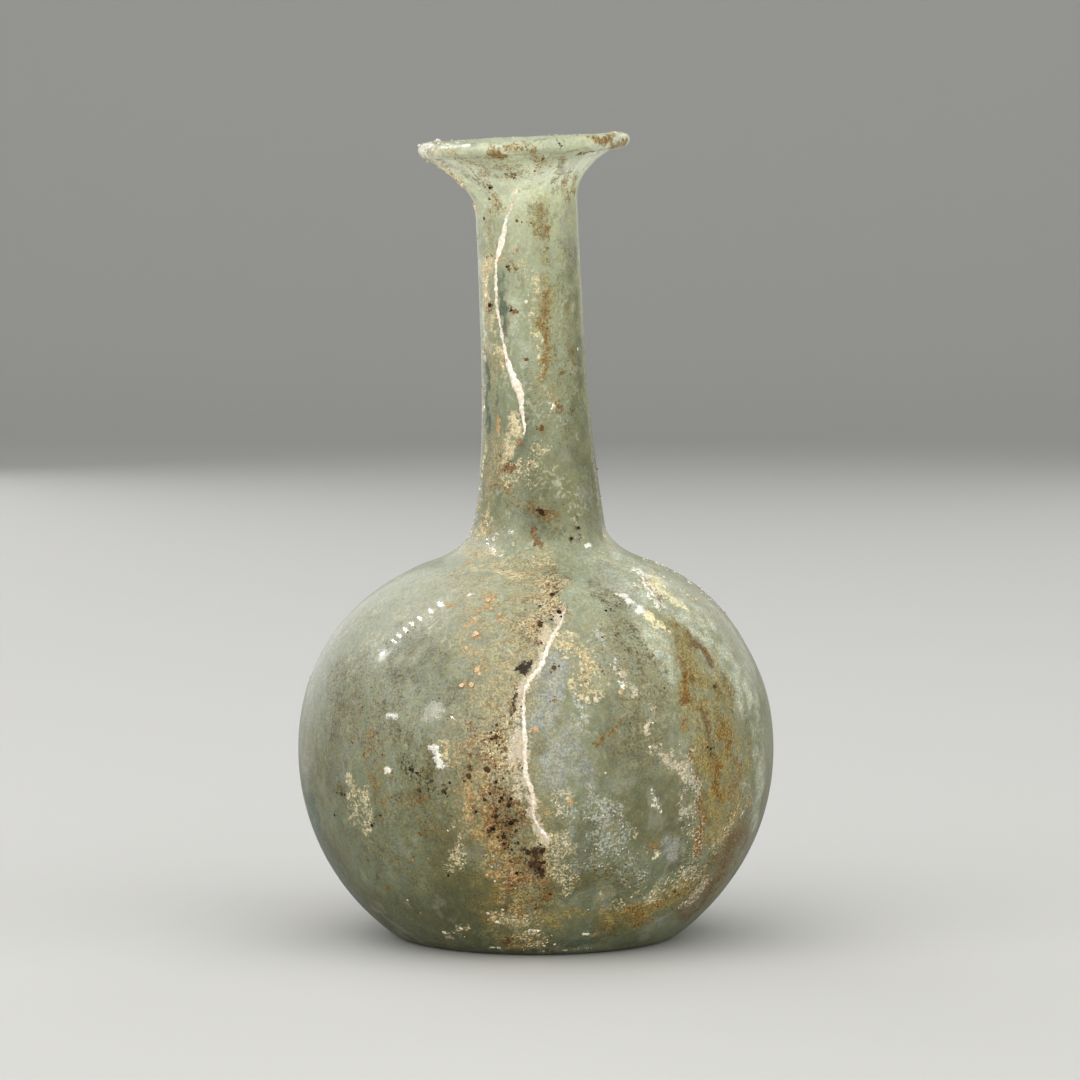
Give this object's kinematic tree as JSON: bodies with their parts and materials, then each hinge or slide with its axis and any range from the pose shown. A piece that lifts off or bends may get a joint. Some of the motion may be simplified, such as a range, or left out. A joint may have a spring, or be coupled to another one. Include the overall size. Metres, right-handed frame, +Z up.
{
  "type": "blown glass flask",
  "caption": "Weathered free-blown glass flask with a round body, a tall leaning neck and a turned-out lip, hollow and open at the mouth; stands on a narrow ring under its base.",
  "frame": {"origin": "on the ground, under the middle of the round body", "axes": "+Z up along the flask's height, -Y towards the side with the long ridge of crust, +X to that side's right"},
  "size_m": [0.0952, 0.0952, 0.1603],
  "materials": {
    "weathered_glass": "pale green glass, cloudy and satin, with cream and pink-white crust and brown iron stains"
  },
  "bodies": {
    "root": {"glass_flask": "weathered_glass"}
  },
  "joints": []
}
